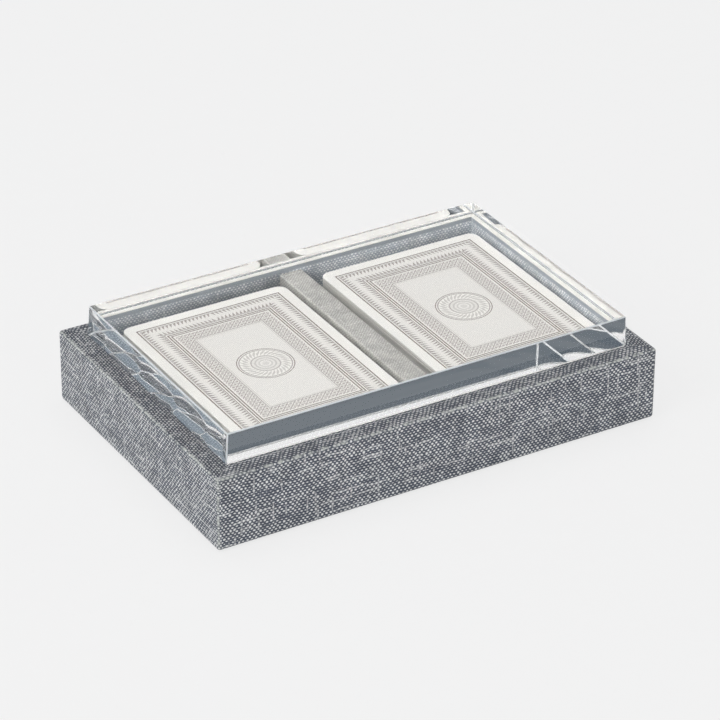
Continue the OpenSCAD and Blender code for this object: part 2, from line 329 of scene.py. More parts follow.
def woven_cloth(name, warp, weft, rubbed_and_highlight, pitch, dot, slub, gloss, painted_top_shade):
    """Plain-weave bookcloth: pale weft floats show as dots in a chequer on the darker warp.

    Uneven spun yarn swells into slubs that read as short pale dashes along both threads. Pitch is one thread, in mm.
    The last argument is the share of its tone left on upward faces, which a painted shade darkens.
    """
    made, tree = new_material(name)
    threads = add(tree, "UVMap", uv_map="cloth_uv")
    drift = add(tree, "TexNoise", {"Vector": threads, "Scale": STRAYS_PER_MM, "Detail": 2.0}, noise_dimensions="2D")
    drift = add(tree, "VectorMath", {0: drift.outputs["Color"], 1: (0.5, 0.5, 0.5)}, operation="SUBTRACT")
    drift = add(tree, "VectorMath", {0: drift, "Scale": STRAY}, operation="SCALE")
    threads = add(tree, "VectorMath", {0: threads, 1: drift}, operation="ADD")
    threads = add(tree, "VectorMath", {0: threads, "Scale": 1.0 / pitch}, operation="SCALE")
    cell = add(tree, "VectorMath", {0: threads}, operation="FLOOR")
    inside = add(tree, "VectorMath", {0: threads}, operation="FRACTION")
    inside = add(tree, "VectorMath", {0: inside, 1: (0.5, 0.5, 0.0)}, operation="SUBTRACT")
    count = add(tree, "SeparateXYZ", {0: cell})
    within = add(tree, "SeparateXYZ", {0: inside})
    thread = add(tree, "SeparateXYZ", {0: threads})
    total = add(tree, "Math", {0: count.outputs["X"], 1: count.outputs["Y"]}, operation="ADD")
    warp_up = add(tree, "Math", {0: total, 1: 2.0}, operation="FLOORED_MODULO")
    weft_up = add(tree, "Math", {0: 1.0, 1: warp_up}, operation="SUBTRACT")

    # The weft and then the warp: the yarn's thickness along every thread, the thread's body in its cell, and slubs
    # where the yarn swells. Each has the axis it runs along, the axis it crosses, and how fast the yarn changes
    # along a thread and from one thread to the next.
    thread_sets = []
    for axis, (runs, crosses, stretch, spread) in enumerate((("X", "Y", 0.045, 7.31), ("Y", "X", 0.07, 5.17))):
        along = add(tree, "Math", {0: thread.outputs[runs], 1: stretch}, operation="MULTIPLY")
        row = add(tree, "Math", {0: count.outputs[crosses], 1: spread}, operation="MULTIPLY")
        spot = add(tree, "CombineXYZ", {axis: along, 1 - axis: row})
        yarn = add(tree, "TexNoise", {"Vector": spot, "Scale": 1.0, "Detail": 2.0}, noise_dimensions="2D")
        body = add(tree, "Math", {0: within.outputs[crosses]}, operation="ABSOLUTE")
        body = add(tree, "MapRange", {0: body, 1: THREAD_FOOT, 2: THREAD_CROWN})
        swell = add(tree, "MapRange", {0: yarn, 1: slub, 2: slub + 0.06})
        swell = add(tree, "Math", {0: swell, 1: body}, operation="MULTIPLY")
        thread_sets.append((yarn, body, swell))
    (weft_yarn, weft_body, weft_slub), (_, _, warp_slub) = thread_sets

    # A float of weft: an oval in its cell, wider where the yarn is thick, no two alike
    size = add(tree, "MapRange", {0: weft_yarn, 1: 0.25, 2: 0.75, 3: dot * 0.68, 4: dot * 1.32})
    loose = add(tree, "TexWhiteNoise", {"Vector": cell}, noise_dimensions="2D")
    loose = add(tree, "MapRange", {0: loose.outputs["Value"], 3: 0.6, 4: 1.32})
    size = add(tree, "Math", {0: size, 1: loose}, operation="MULTIPLY")
    flat = add(tree, "VectorMath", {0: inside, 1: FLOAT_SHAPE}, operation="MULTIPLY")
    reach = add(tree, "VectorMath", {0: flat}, operation="LENGTH")
    edge = add(tree, "Math", {0: size, 1: reach.outputs["Value"]}, operation="SUBTRACT")
    oval = add(tree, "MapRange", {0: edge, 1: -0.1, 2: 0.12}, interpolation_type="SMOOTHSTEP")
    oval = add(tree, "Math", {0: oval, 1: weft_up}, operation="MULTIPLY")

    # Slubs show over their whole thread, and the weft shows dimly between its floats
    slubs = add(tree, "Math", {0: weft_slub, 1: warp_slub}, operation="MAXIMUM")
    slubs = add(tree, "Math", {0: slubs, 1: SLUB_PALE}, operation="MULTIPLY")
    row = add(tree, "Math", {0: weft_body, 1: WEFT_PALE}, operation="MULTIPLY")
    slubs = add(tree, "Math", {0: slubs, 1: row}, operation="MAXIMUM")
    pale = add(tree, "Math", {0: oval, 1: slubs}, operation="MAXIMUM")

    # Colour: dyed warp, pale weft, an uneven tone over a few millimetres, a painted shade on upward faces, and folds
    # paler from wear and a painted highlight
    cloud = add(tree, "TexNoise", {"Vector": threads, "Scale": 0.12, "Detail": 3.0}, noise_dimensions="2D")
    fade = add(tree, "MapRange", {0: cloud, 1: 0.3, 2: 0.7, 3: 0.86, 4: 1.08})
    facing = add(tree, "TexCoord")
    facing = add(tree, "SeparateXYZ", {0: facing.outputs["Normal"]})
    # Painted shade: upward faces keep only the share of their tone given by the last argument
    top_shade_factor = add(tree, "MapRange", {0: facing.outputs["Z"], 1: 0.5, 2: 0.95, 3: 1.0, 4: painted_top_shade})
    fade = add(tree, "Math", {0: fade, 1: top_shade_factor}, operation="MULTIPLY")
    dyed = add(tree, "Mix", {0: pale, 6: linear(warp), 7: linear(weft)}, data_type="RGBA")
    dyed = add(tree, "VectorMath", {0: dyed.outputs[2], "Scale": fade}, operation="SCALE")
    # Folds paler from wear and a painted highlight, as much as each point of the mesh carries
    wear_and_highlight = add(tree, "Attribute", attribute_name="wear_and_highlight")
    rub_and_highlight = add(tree, "TexNoise", {"Vector": threads, "Scale": 0.5, "Detail": 3.0}, noise_dimensions="2D")
    rub_and_highlight = add(tree, "MapRange", {0: rub_and_highlight, 1: 0.38, 2: 0.62})
    rub_and_highlight = add(tree, "Math", {0: rub_and_highlight, 1: wear_and_highlight.outputs["Fac"]}, operation="MULTIPLY")
    colour = add(tree, "Mix", {0: rub_and_highlight, 6: dyed, 7: linear(rubbed_and_highlight)}, data_type="RGBA")
    sheen = add(tree, "MapRange", {0: pale, 3: gloss, 4: gloss + 0.15})
    surface(tree, colour.outputs[2], (pale, 0.35, 0.08), {"Roughness": sheen, "Specular IOR Level": 0.35})
    return made


low, high = box_mm("cloth_front")
half_x, half_y, under_z, rim_z = high.x, -low.y, low.z, high.z
board_low, board_high = box_mm("wall_front")
turned_in = high.y - low.y
cloth_t = board_low.y - low.y
rim_w = board_high.y - board_low.y + 2 * cloth_t
seat_z = box_mm("ledge_paper")[1].z
FOLD_R = 1.2
INNER_FOLD_R = 0.5
FLAP_W, FLAP_T = 1.6, 0.1
cover_section = [(turned_in, under_z, 0.0)]
cover_section += arc((FOLD_R, under_z + FOLD_R), FOLD_R, 270, 180, steps=6, wear_and_highlight=0.5)
cover_section += arc((FOLD_R, rim_z - FOLD_R), FOLD_R, 180, 90, steps=8, wear_and_highlight=1.0)
cover_section += arc((rim_w - INNER_FOLD_R, rim_z - INNER_FOLD_R), INNER_FOLD_R, 90, 0, steps=5, wear_and_highlight=0.4)
cover_section += [(rim_w, seat_z + FLAP_T, 0.0), (rim_w + FLAP_W, seat_z + FLAP_T, 0.0),
                  (rim_w + FLAP_W, seat_z, 0.0), (rim_w - cloth_t, seat_z, 0.0),
                  (rim_w - cloth_t, rim_z - cloth_t, 0.0), (cloth_t, rim_z - cloth_t, 0.0),
                  (cloth_t, under_z + cloth_t, 0.0), (turned_in, under_z + cloth_t, 0.0)]
navy_linen = woven_cloth("lacquered navy linen bookcloth", "#343d4e", "#e4e5e4", "#b6b9b4",
                         pitch=0.79, dot=0.52, slub=0.63, gloss=0.5, painted_top_shade=0.7)
box_cover = ring("box_cover", cover_section, half_x, half_y, corner=FOLD_R, corner_wear_and_highlight=0.8)
box_cover.data.materials.append(navy_linen)
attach(box_cover, "box")
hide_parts("cloth_front", "cloth_back", "cloth_left", "cloth_right")


# The lining under the box: a sheet of dark matt paper with round corners.
# It is glued over the base board and the turned-in edges of the cloth.
def paper(name, light, dark, fibre, roughness):
    """Uncoated paper: short fibres give a faint cloudy mottle and a dead matt face."""
    made, tree = new_material(name)
    place = add(tree, "TexCoord")
    fibres = add(tree, "TexNoise", {"Vector": place.outputs["Object"], "Scale": 1.0 / (fibre * MM), "Detail": 5.0})
    clouds = add(tree, "TexNoise", {"Vector": place.outputs["Object"], "Scale": 0.06 / MM, "Detail": 2.0})
    mottle = add(tree, "Math", {0: fibres, 1: clouds}, operation="ADD")
    mottle = add(tree, "MapRange", {0: mottle, 1: 0.75, 2: 1.25})
    colour = add(tree, "Mix", {0: mottle, 6: linear(dark), 7: linear(light)}, data_type="RGBA")
    surface(tree, colour.outputs[2], (fibres, 0.15, 0.03), {"Roughness": roughness, "Specular IOR Level": 0.3})
    return made


def round_plate(name, low, high, corner, edge, steps=6):
    """A plate between two corners, in mm, with round corners in plan and a small round on its upper edges."""
    bm = bmesh.new()
    loops = []
    eased = 0.3 * edge
    for z, inset in ((low.z, 0.0), (high.z - edge, 0.0), (high.z - eased, eased), (high.z, edge)):
        loop = []
        for side, (sx, sy) in enumerate(CORNERS):
            cx = (low.x + high.x) / 2 + sx * ((high.x - low.x) / 2 - corner)
            cy = (low.y + high.y) / 2 + sy * ((high.y - low.y) / 2 - corner)
            for i in range(steps + 1):
                a = math.radians(side * 90 - 90 + 90 * i / steps)
                reach = corner - inset
                loop.append(bm.verts.new(((cx + reach * math.cos(a)) * MM, (cy + reach * math.sin(a)) * MM, z * MM)))
        loops.append(loop)
    for lower, upper in zip(loops, loops[1:]):
        for i in range(len(lower)):
            j = (i + 1) % len(lower)
            bm.faces.new((lower[i], lower[j], upper[j], upper[i]))
    bm.faces.new(loops[-1])
    bm.faces.new(loops[0][::-1])
    return piece_from(name, bm)


low, high = box_mm("base_lining")
base_sheet = round_plate("base_sheet", low, high, corner=2.5, edge=0.12)
base_sheet.data.materials.append(paper("dark lining paper", "#3a4048", "#2b3037", fibre=0.6, roughness=0.85))
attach(base_sheet, "box")
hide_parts("base_lining")


# The ledge paper: a strip of pale smooth paper round the ledge, with its inner edge eased.
# It is glued to the ledge boards, and the lid rests on it.
low, high = box_mm("ledge_paper")
band_low, band_high = box_mm("well_band")
wells_end = box_mm("divider_core")[1].y
lining_t = band_high.y - wells_end
ledge_w = high.y - wells_end
PAPER_EDGE = 0.15
ledge_section = [(0.0, low.z, 0.0), (ledge_w, low.z, 0.0)]
ledge_section += arc((ledge_w - PAPER_EDGE, high.z - PAPER_EDGE), PAPER_EDGE, 0, 90, steps=3, wear_and_highlight=0.0)
ledge_section += [(0.0, high.z, 0.0)]
ledge_strip = ring("ledge_strip", ledge_section, high.x, high.y)
ledge_strip.data.materials.append(paper("pale ledge paper", "#f6f4ee", "#ebe8e0", fibre=0.5, roughness=0.7))
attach(ledge_strip, "box")
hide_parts("ledge_paper")


# The band: smooth blue-grey paper round the top of the wells, between the ledge and their cloth.
# It is one strip, glued to the walls of the wells.
band_section = [(0.0, band_low.z, 0.0), (lining_t, band_low.z, 0.0),
                (lining_t, band_high.z, 0.0), (0.0, band_high.z, 0.0)]
well_band = ring("well_band_strip", band_section, band_high.x, band_high.y)
well_band.data.materials.append(paper("smooth blue-grey paper", "#abb0b6", "#a0a5ab", fibre=0.4, roughness=0.55))
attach(well_band, "box")
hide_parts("well_band")


# The cloth of the wells: linen on the walls below the band, its upper edge folded over. Its pale tone is painted
# light, lighter than the cover's to stand for the light the lid carries into the wells.
# It is glued on, one piece to each well, and the two pieces meet behind the ends of the divider.
low, high = box_mm("left_well_lining")
seam_x = high.x
lining_section = [(0.0, low.z, 0.0), (lining_t, low.z, 0.0)]
lining_section += arc((lining_t / 2, high.z - lining_t / 2), lining_t / 2, 0, 180, steps=6, wear_and_highlight=0.9)
# Its pale colours are painted light: the cover's cloth lightened for the light the lid brings into the wells
well_linen_painted_light = woven_cloth("unlacquered blue-grey linen painted pale for light", "#b0b7bf", "#fefdfb", "#f2f0ea",
                           pitch=0.7, dot=0.5, slub=0.66, gloss=0.7, painted_top_shade=1.0)
for side, keep in (("left", -1), ("right", 1)):
    cloth = ring(side + "_well_cloth", lining_section, band_high.x, band_high.y)
    bm = bmesh.new()
    bm.from_mesh(cloth.data)
    geometry = bm.verts[:] + bm.edges[:] + bm.faces[:]
    bmesh.ops.bisect_plane(bm, geom=geometry, plane_co=(seam_x * MM, 0, 0), plane_no=(-keep, 0, 0), clear_outer=True)
    bmesh.ops.holes_fill(bm, edges=[e for e in bm.edges if e.is_boundary])
    bmesh.ops.recalc_face_normals(bm, faces=bm.faces)
    bm.to_mesh(cloth.data)
    bm.free()
    cloth.data.materials.append(well_linen_painted_light)
    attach(cloth, "box")
    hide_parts(side + "_well_lining")


# The divider's cover: finer grey linen, its pale tone partly painted light for its brightly lit top,
# and paler still on its two upper folds from wear and a painted highlight.
# It is stretched over the core and glued down both of its sides.
low, high = box_mm("divider_cloth")
core_low, core_high = box_mm("divider_core")
DIVIDER_FOLD_R = 0.7
DIVIDER_SHIFT = 57.0
outer = [(low.x, low.z, 0.0)]
outer += arc((low.x + DIVIDER_FOLD_R, high.z - DIVIDER_FOLD_R), DIVIDER_FOLD_R, 180, 90, steps=6, wear_and_highlight=0.8)
outer += arc((high.x - DIVIDER_FOLD_R, high.z - DIVIDER_FOLD_R), DIVIDER_FOLD_R, 90, 0, steps=6, wear_and_highlight=0.8)
outer += [(high.x, low.z, 0.0), (core_high.x, low.z, 0.0), (core_high.x, core_high.z, 0.0),
          (core_low.x, core_high.z, 0.0), (core_low.x, low.z, 0.0)]
bm = bmesh.new()
uv_map = bm.loops.layers.uv.new("cloth_uv")
wear_and_highlight_layer = bm.verts.layers.float.new("wear_and_highlight")
ends = []
for y in (low.y, high.y):
    row = []
    for x, z, wear_and_highlight in outer:
        point = bm.verts.new((x * MM, y * MM, z * MM))
        point[wear_and_highlight_layer] = wear_and_highlight
        row.append(point)
    ends.append(row)
run = lengths(outer)
for k in range(len(outer)):
    j = (k + 1) % len(outer)
    face = bm.faces.new((ends[0][k], ends[1][k], ends[1][j], ends[0][j]))
    for loop, v in zip(face.loops, (run[k], run[k], run[k + 1], run[k + 1])):
        loop[uv_map].uv = (v + DIVIDER_SHIFT, loop.vert.co.y / MM)
for row in ends:
    face = bm.faces.new(row)
    for loop in face.loops:
        loop[uv_map].uv = (loop.vert.co.x / MM, loop.vert.co.z / MM)
bmesh.ops.recalc_face_normals(bm, faces=bm.faces)
divider_cover = piece_from("divider_cover", bm)
# Its pale grey is partly painted light, for the brightly lit top of the divider
divider_linen_painted_light = woven_cloth("fine grey linen painted pale for light", "#a7a49e", "#dad7d1", "#d9d6d0",
                         pitch=0.62, dot=0.5, slub=0.62, gloss=0.6, painted_top_shade=1.0)
divider_cover.data.materials.append(divider_linen_painted_light)
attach(divider_cover, "box")
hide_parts("divider_cloth")


# The pads: thin navy felt cut to the floor of each well, its upper edges a little crushed.
# They lie loose on the tray board, under the cards.
def felt(name, light, dark):
    """Pressed wool felt: tangled fibres of mixed tones, soft at the surface, with no gloss but a faint fuzz."""
    made, tree = new_material(name)
    place = add(tree, "TexCoord")
    fibres = add(tree, "TexNoise",
                 {"Vector": place.outputs["Object"], "Scale": 2.6 / MM, "Detail": 5.0, "Distortion": 1.5})
    clumps = add(tree, "TexNoise", {"Vector": place.outputs["Object"], "Scale": 0.42 / MM, "Detail": 2.0})
    mixed = add(tree, "Math", {0: fibres, 1: clumps}, operation="ADD")
    mixed = add(tree, "MapRange", {0: mixed, 1: 0.7, 2: 1.3})
    colour = add(tree, "Mix", {0: mixed, 6: linear(dark), 7: linear(light)}, data_type="RGBA")
    surface(tree, colour.outputs[2], (mixed, 0.5, 0.1), {"Roughness": 0.95, "Sheen Weight": 0.3})
    return made


navy_felt = felt("pressed navy felt", "#5d6775", "#39424f")
for side in ("left", "right"):
    low, high = box_mm(side + "_well_pad")
    pad = round_plate(side + "_felt_pad", low, high, corner=0.6, edge=0.3)
    pad.data.materials.append(navy_felt)
    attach(pad, "box")
    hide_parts(side + "_well_pad")


# The decks: coated playing cards with round corners, stacked loosely, one packet to each suit and the top card alone.
# Every card is cut from white card stock, with a printed back and its suit on its face.
# It lies a hair out of line with its neighbours.
CARD_HALF_W, CARD_HALF_L = 31.75, 44.45

# The back's print in mm: ruled frames by their distance from the card's edge and rings by theirs from its middle,
# each with its share of ink, then the places and sizes of its other figures
RULES_END, RINGS_END = 20.0, 10.0
RULES = ((0.0, 0.0), (3.85, 0.98), (4.4, 0.05), (4.8, 0.65), (5.1, 0.12), (10.8, 0.85), (11.2, 0.05), (11.65, 0.98),
         (12.2, 0.05), (12.65, 0.95), (13.15, 0.08), (13.7, 0.14), (18.35, 0.65), (18.7, 0.06), (19.0, 0.45),
         (19.25, 0.06))
RINGS = ((0.0, 0.3), (1.2, 0.12), (1.9, 0.4), (2.5, 0.16), (3.2, 0.45), (3.8, 0.2), (4.7, 0.65), (5.05, 0.45),
         (8.8, 0.75), (9.15, 0.05), (9.5, 0.9), (9.9, 0.0))
STEM_AT, BORDER_HALF, LEAF_PITCH, LEAF_SLANT = 7.95, 2.75, 1.45, 0.25
TRELLIS_AT, TRELLIS_HALF, MESH_HALF, LINE_W, MESH_DOT = 16.05, 2.3, 1.45, 0.27, 0.85
PETALS, PETAL_AT, PETAL_HALF, PETAL_SLANT = 30, 7.0, 1.7, 0.09
FIELD_FROM, ROSETTE_R, DOT_PITCH, DOT_R = 19.2, 9.8, 0.62, 0.3


def coated_print(tree, mm, printed, paper_tone, ink_tone, least):
    """Ends a printed side of a card: ink on paper, uneven down to its least share, under a gloss coat with a tooth."""
    uneven = add(tree, "TexNoise", {"Vector": mm, "Scale": 1.6, "Detail": 3.0}, noise_dimensions="2D")
    uneven = add(tree, "MapRange", {0: uneven, 1: 0.3, 2: 0.7, 3: least, 4: 1.0})
    printed = add(tree, "Math", {0: printed, 1: uneven}, operation="MULTIPLY")
    colour = add(tree, "Mix", {0: printed, 6: linear(paper_tone), 7: linear(ink_tone)}, data_type="RGBA")
    tooth = add(tree, "TexNoise", {"Vector": mm, "Scale": 2.6, "Detail": 2.0}, noise_dimensions="2D")
    surface(tree, colour.outputs[2], (tooth, 0.08, 0.03), {"Roughness": 0.42, "Specular IOR Level": 0.35})


def card_back(name):
    """Gloss-coated card, printed in a fine warm grey: ruled frames, leaves, a trellis and a rosette on dots."""
    made, tree = new_material(name)
    mm = add(tree, "UVMap", uv_map="card_uv")
    spot = add(tree, "SeparateXYZ", {0: mm})
    across = add(tree, "Math", {0: spot.outputs["X"]}, operation="ABSOLUTE")
    up = add(tree, "Math", {0: spot.outputs["Y"]}, operation="ABSOLUTE")
    from_side = add(tree, "Math", {0: CARD_HALF_W, 1: across}, operation="SUBTRACT")
    from_end = add(tree, "Math", {0: CARD_HALF_L, 1: up}, operation="SUBTRACT")
    depth = add(tree, "Math", {0: from_side, 1: from_end}, operation="MINIMUM")
    at_side = add(tree, "Math", {0: from_side, 1: from_end}, operation="LESS_THAN")
    along = add(tree, "Mix", {0: at_side, 2: across, 3: up}, data_type="FLOAT")

    # Ruled frames and the rosette's rings, as steps of ink
    radius = add(tree, "VectorMath", {0: mm}, operation="LENGTH").outputs["Value"]
    stepped = []
    for distance, reach, steps in ((depth, RULES_END, RULES), (radius, RINGS_END, RINGS)):
        share = add(tree, "Math", {0: distance, 1: reach}, operation="DIVIDE")
        lines = add(tree, "ValToRGB", {0: share})
        ramp = lines.color_ramp
        ramp.interpolation = "CONSTANT"
        ramp.elements.remove(ramp.elements[1])
        for at, ink in steps:
            stop = ramp.elements.new(at / reach) if at else ramp.elements[0]
            stop.color = (ink, ink, ink, 1)
        stepped.append(lines)
    frames, rings = stepped

    # The zones of the leaf border, the trellis and the petals, and how far a point lies from the middle of each
    zones = []
    for distance, middle, half in ((depth, STEM_AT, BORDER_HALF), (depth, TRELLIS_AT, TRELLIS_HALF),
                                   (radius, PETAL_AT, PETAL_HALF)):
        off = add(tree, "Math", {0: distance, 1: middle}, operation="SUBTRACT")
        aside = add(tree, "Math", {0: off}, operation="ABSOLUTE")
        zones.append((off, aside, add(tree, "Math", {0: aside, 1: half}, operation="LESS_THAN")))
    (_, off_stem, in_border), (off_trellis, _, in_trellis), (_, off_petals, in_petals) = zones

    # Leaf border: slanted leaves off a stem, tapering to both sides
    slant = add(tree, "Math", {0: off_stem, 1: LEAF_SLANT, 2: along}, operation="MULTIPLY_ADD")
    slant = add(tree, "Math", {0: slant, 1: LEAF_PITCH}, operation="DIVIDE")
    leaf = add(tree, "Math", {0: slant, 1: 0.5}, operation="PINGPONG")
    leaf_w = add(tree, "MapRange", {0: off_stem, 1: 0.5, 2: 2.8, 3: 0.0, 4: 0.4})
    leaf = add(tree, "Math", {0: leaf, 1: leaf_w}, operation="LESS_THAN")

    # Trellis: slanting lines that cross, with a dot in every mesh
    rising = add(tree, "Math", {0: along, 1: off_trellis}, operation="ADD")
    falling = add(tree, "Math", {0: along, 1: off_trellis}, operation="SUBTRACT")
    rising = add(tree, "Math", {0: rising, 1: MESH_HALF}, operation="PINGPONG")
    falling = add(tree, "Math", {0: falling, 1: MESH_HALF}, operation="PINGPONG")
    mesh_in = add(tree, "Math", {0: rising, 1: falling}, operation="MINIMUM")
    lines = add(tree, "Math", {0: mesh_in, 1: LINE_W}, operation="LESS_THAN")
    centres = add(tree, "Math", {0: mesh_in, 1: MESH_DOT}, operation="GREATER_THAN")
    trellis = add(tree, "Math", {0: lines, 1: centres}, operation="MAXIMUM")

    # The field: a fine lattice of dots, drawn coarser than the real screen so that it shows
    dots = add(tree, "VectorMath", {0: mm, "Scale": 1 / DOT_PITCH}, operation="SCALE")
    dots = add(tree, "TexVoronoi", {"Vector": dots, "Scale": 1.0, "Randomness": 0.15}, voronoi_dimensions="2D")
    dots = add(tree, "Math", {0: dots.outputs["Distance"], 1: DOT_R}, operation="LESS_THAN")
    in_field = add(tree, "Math", {0: depth, 1: FIELD_FROM}, operation="GREATER_THAN")
    outside = add(tree, "Math", {0: radius, 1: ROSETTE_R}, operation="GREATER_THAN")
    in_field = add(tree, "Math", {0: in_field, 1: outside}, operation="MULTIPLY")

    # All that is inked, each figure in its own zone and with its own share of ink
    ink = add(tree, "Math", {0: frames, 1: rings}, operation="MAXIMUM")
    for figure, zone, share in ((leaf, in_border, 0.8), (trellis, in_trellis, 0.72), (dots, in_field, 0.38)):
        figure = add(tree, "Math", {0: figure, 1: zone}, operation="MULTIPLY")
        figure = add(tree, "Math", {0: figure, 1: share}, operation="MULTIPLY")
        ink = add(tree, "Math", {0: ink, 1: figure}, operation="MAXIMUM")

    # The rosette's slanted petals, left white on its toned ring
    angle = add(tree, "Math", {0: spot.outputs["Y"], 1: spot.outputs["X"]}, operation="ARCTAN2")
    petal = add(tree, "Math", {0: radius, 1: PETAL_SLANT}, operation="MULTIPLY")
    petal = add(tree, "Math", {0: angle, 1: petal}, operation="ADD")
    petal = add(tree, "Math", {0: petal, 1: PETALS / (2 * math.pi)}, operation="MULTIPLY")
    petal = add(tree, "Math", {0: petal, 1: 0.5}, operation="PINGPONG")
    petal_w = add(tree, "MapRange", {0: off_petals, 1: 0.2, 2: PETAL_HALF, 3: 0.36, 4: 0.06})
    petal = add(tree, "Math", {0: petal, 1: petal_w}, operation="GREATER_THAN")
    petals = add(tree, "Math", {0: petal, 1: in_petals}, operation="MULTIPLY")
    petals = add(tree, "Math", {0: petals, 1: 0.95}, operation="MULTIPLY")
    bare = add(tree, "Math", {0: 1.0, 1: petals}, operation="SUBTRACT")
    ink = add(tree, "Math", {0: ink, 1: bare}, operation="MULTIPLY")
    coated_print(tree, mm, ink, "#f9f6f0", "#705f56", least=0.8)
    return made


def card_paper(name, light, dark):
    """White card stock: the cut edge is matt, with a thin grey core line and slight differences from card to card."""
    made, tree = new_material(name)
    place = add(tree, "TexCoord")
    layers = add(tree, "Mapping", {0: place.outputs["Object"], "Scale": (0.04 / MM, 0.04 / MM, 3.3 / MM)})
    layers = add(tree, "TexNoise", {"Vector": layers, "Scale": 1.0, "Detail": 3.0})
    layers = add(tree, "MapRange", {0: layers, 1: 0.35, 2: 0.65})
    colour = add(tree, "Mix", {0: layers, 6: linear(dark), 7: linear(light)}, data_type="RGBA")
    face = add(tree, "BsdfPrincipled", {"Base Color": colour.outputs[2], "Roughness": 0.7, "Specular IOR Level": 0.3})
    add(tree, "OutputMaterial", {0: face})
    return made


# The signs on the faces: places and sizes of the large and the small pip in a quarter of the card, in mm,
# and the rest as shares of a pip's size
PIPS = (((13.5, 23.0, 0.0), 6.2), ((26.3, 37.2, 0.0), 2.3))
CLUB_LEAVES = ((0.0, 0.55, 0.52), (0.55, -0.25, 0.52), (0.0, 0.05, 0.35))
DIAMOND_SLOPE, DIAMOND_HALF = 1.4, 1.1
LOZENGE_MIDDLE, LOZENGE_LINE = 0.85, 4.0
FOOT_Y, FOOT_HALF = -0.8, 0.55


def card_face(name, suit, ink):
    """Gloss-coated card with flat printed pips: four large and one small in each corner, upright at either end."""
    made, tree = new_material(name)
    mm = add(tree, "UVMap", uv_map="card_uv")
    quarter = add(tree, "VectorMath", {0: mm}, operation="ABSOLUTE")
    printed = None
    for centre, size in PIPS:
        spot = add(tree, "VectorMath", {0: quarter, 1: centre}, operation="SUBTRACT")
        spot = add(tree, "VectorMath", {0: spot, "Scale": 1.0 / size}, operation="SCALE")
        spot = add(tree, "SeparateXYZ", {0: spot})
        x = add(tree, "Math", {0: spot.outputs["X"]}, operation="ABSOLUTE")
        y = spot.outputs["Y"]
        if suit in ("heart", "spade"):
            # A heart is where (x2 + y2 - 1) cubed is less than x2 y3; a spade is one turned over on a stem
            rise = y
            if suit == "spade":
                rise = add(tree, "Math", {0: y, 1: -1.0}, operation="MULTIPLY").outputs[0]
            x2 = add(tree, "Math", {0: x, 1: x}, operation="MULTIPLY")
            y3 = add(tree, "Math", {0: rise, 1: 3.0}, operation="POWER")
            lobes = add(tree, "Math", {0: x2, 1: y3}, operation="MULTIPLY")
            round_part = add(tree, "Math", {0: rise, 1: rise, 2: x2}, operation="MULTIPLY_ADD")
            round_part = add(tree, "Math", {0: round_part, 1: 1.0}, operation="SUBTRACT")
            round_part = add(tree, "Math", {0: round_part, 1: 3.0}, operation="POWER")
            pip = add(tree, "Math", {0: round_part, 1: lobes}, operation="LESS_THAN")
        elif suit == "club":
            pip = None
            for leaf_x, leaf_y, reach in CLUB_LEAVES:
                leaf = add(tree, "CombineXYZ", {0: x, 1: y})
                leaf = add(tree, "VectorMath", {0: leaf, 1: (leaf_x, leaf_y, 0.0)}, operation="DISTANCE")
                leaf = add(tree, "Math", {0: leaf.outputs["Value"], 1: reach}, operation="LESS_THAN")
                pip = leaf if pip is None else add(tree, "Math", {0: pip, 1: leaf}, operation="MAXIMUM")
        else:
            height = add(tree, "Math", {0: y}, operation="ABSOLUTE")
            slope = add(tree, "Math", {0: x, 1: DIAMOND_SLOPE, 2: height}, operation="MULTIPLY_ADD")
            if suit == "lozenge":
                slope = add(tree, "Math", {0: slope, 1: LOZENGE_MIDDLE}, operation="SUBTRACT")
                slope = add(tree, "Math", {0: slope, 1: LOZENGE_LINE}, operation="MULTIPLY")
                slope = add(tree, "Math", {0: slope}, operation="ABSOLUTE")
            pip = add(tree, "Math", {0: slope, 1: DIAMOND_HALF}, operation="LESS_THAN")
        if suit in ("club", "spade"):
            flare = add(tree, "MapRange", {0: y, 1: -1.35, 2: -0.5, 3: 0.45, 4: 0.1})
            stem = add(tree, "Math", {0: x, 1: flare}, operation="LESS_THAN")
            foot = add(tree, "Math", {0: y, 1: FOOT_Y}, operation="SUBTRACT")
            foot = add(tree, "Math", {0: foot}, operation="ABSOLUTE")
            foot = add(tree, "Math", {0: foot, 1: FOOT_HALF}, operation="LESS_THAN")
            stem = add(tree, "Math", {0: stem, 1: foot}, operation="MULTIPLY")
            pip = add(tree, "Math", {0: pip, 1: stem}, operation="MAXIMUM")
        printed = pip if printed is None else add(tree, "Math", {0: printed, 1: pip}, operation="MAXIMUM")
    coated_print(tree, mm, printed, "#f6f4ef", ink, least=0.88)
    return made


printed_back = card_back("coated card with a printed back")
cut_edge = card_paper("cut edge of white card", "#f4f2ed", "#dedad2")
FACES = {"jokers": card_face("coated joker face", "lozenge", "#4a5560"),
         "clubs": card_face("coated club face", "club", "#24262a"),
         "diamonds": card_face("coated diamond face", "diamond", "#a8262c"),
         "hearts": card_face("coated heart face", "heart", "#a8262c"),
         "spades": card_face("coated spade face", "spade", "#24262a")}
FACES["top_card"] = FACES["spades"]


# A card's thickness, its pitch in the stack and its corners, then how far it may lie out of line and turned
CARD_T, CARD_PITCH, CARD_CORNER = 0.29 * MM, 0.3 * MM, 3.5 * MM
CARD_SHIFT, CARD_TWIST = 0.12 * MM, 0.0018


